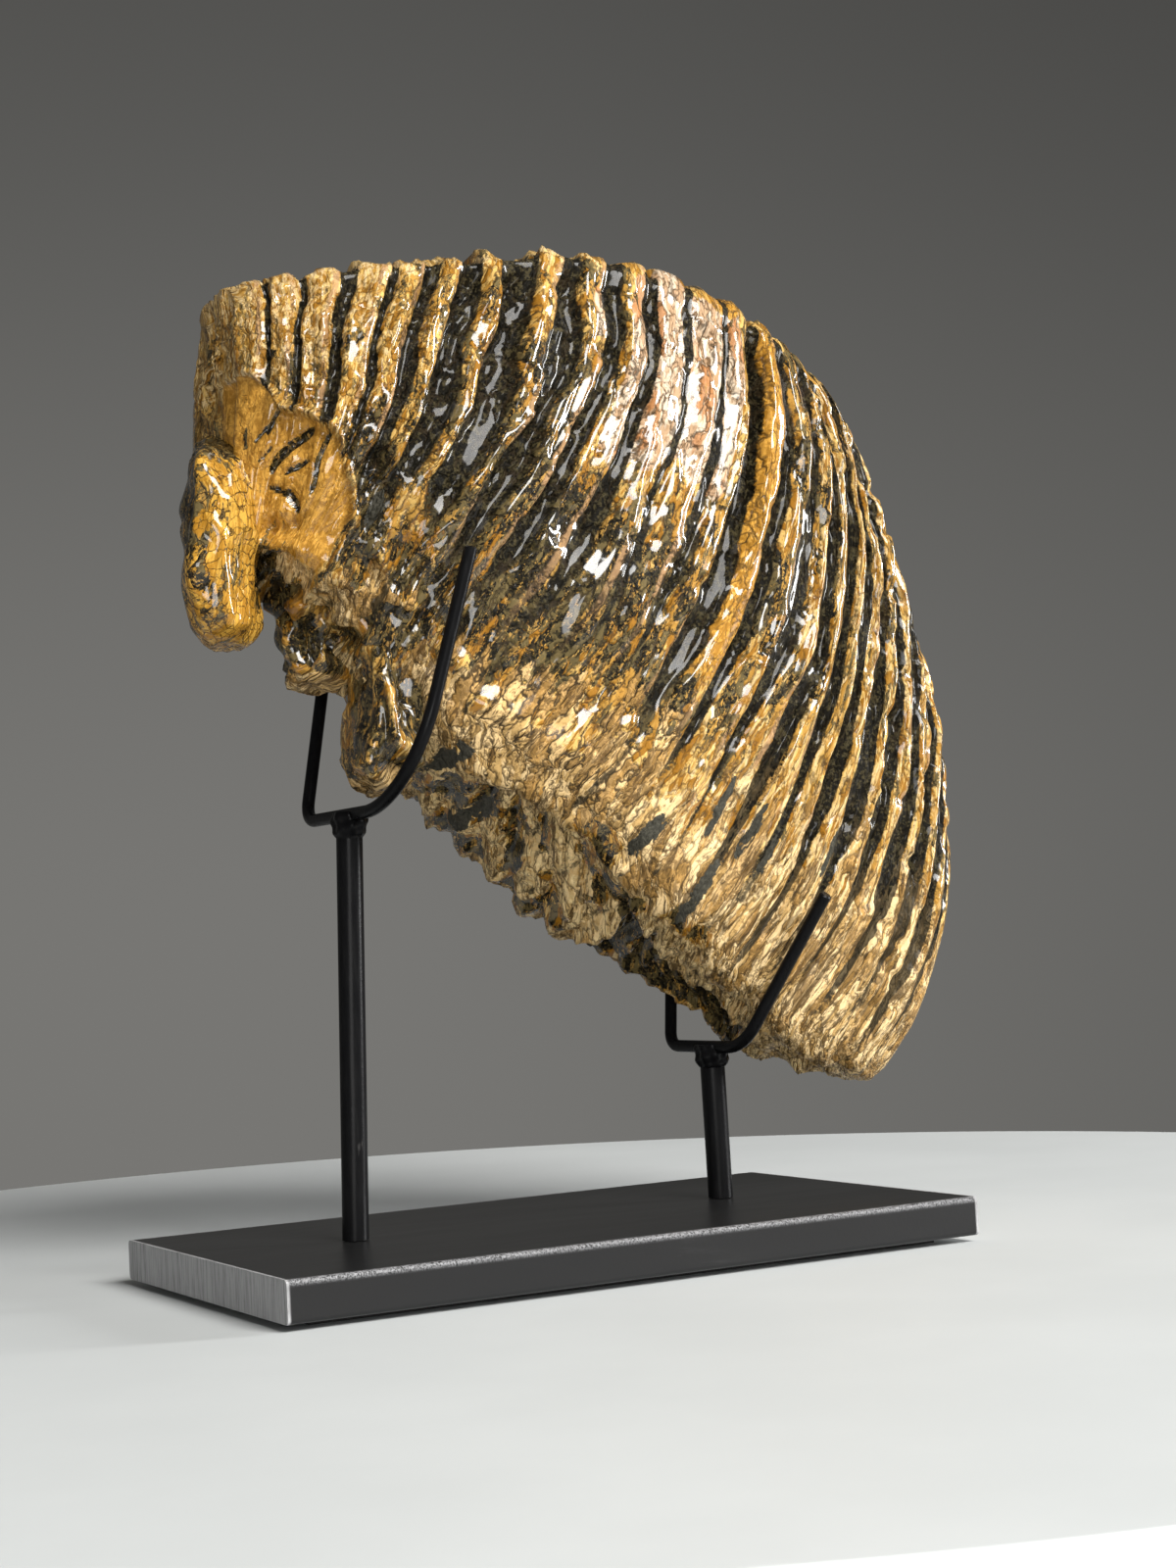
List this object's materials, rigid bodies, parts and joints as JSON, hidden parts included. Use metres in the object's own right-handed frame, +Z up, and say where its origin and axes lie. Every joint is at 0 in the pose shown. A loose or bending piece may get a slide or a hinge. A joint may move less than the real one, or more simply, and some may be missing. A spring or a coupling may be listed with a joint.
{
  "type": "fossil mammoth tooth on display stand",
  "caption": "Large fossil mammoth molar with fused enamel plates and hanging roots, held upright in wire cradles on posts above a flat steel base.",
  "frame": {"origin": "centre of the felt pad's underside, where the stand meets the table", "axes": "+Z up; +X along the base plate from the tall post to the short post; +Y from the shown side of the tooth to its back"},
  "size_m": [0.2594, 0.13, 0.3155],
  "materials": {
    "fossil": "clear varnish over ochre, black and tan mineralised plates",
    "plate_paint": "satin black paint",
    "stand_paint": "satin black paint",
    "felt": "black felt"
  },
  "bodies": {
    "root": {"base_pad": "felt", "base_plate": "plate_paint", "post_tall": "stand_paint", "post_short": "stand_paint", "cradle_tall": "stand_paint", "cradle_short": "stand_paint", "tooth": "fossil"}
  },
  "joints": []
}
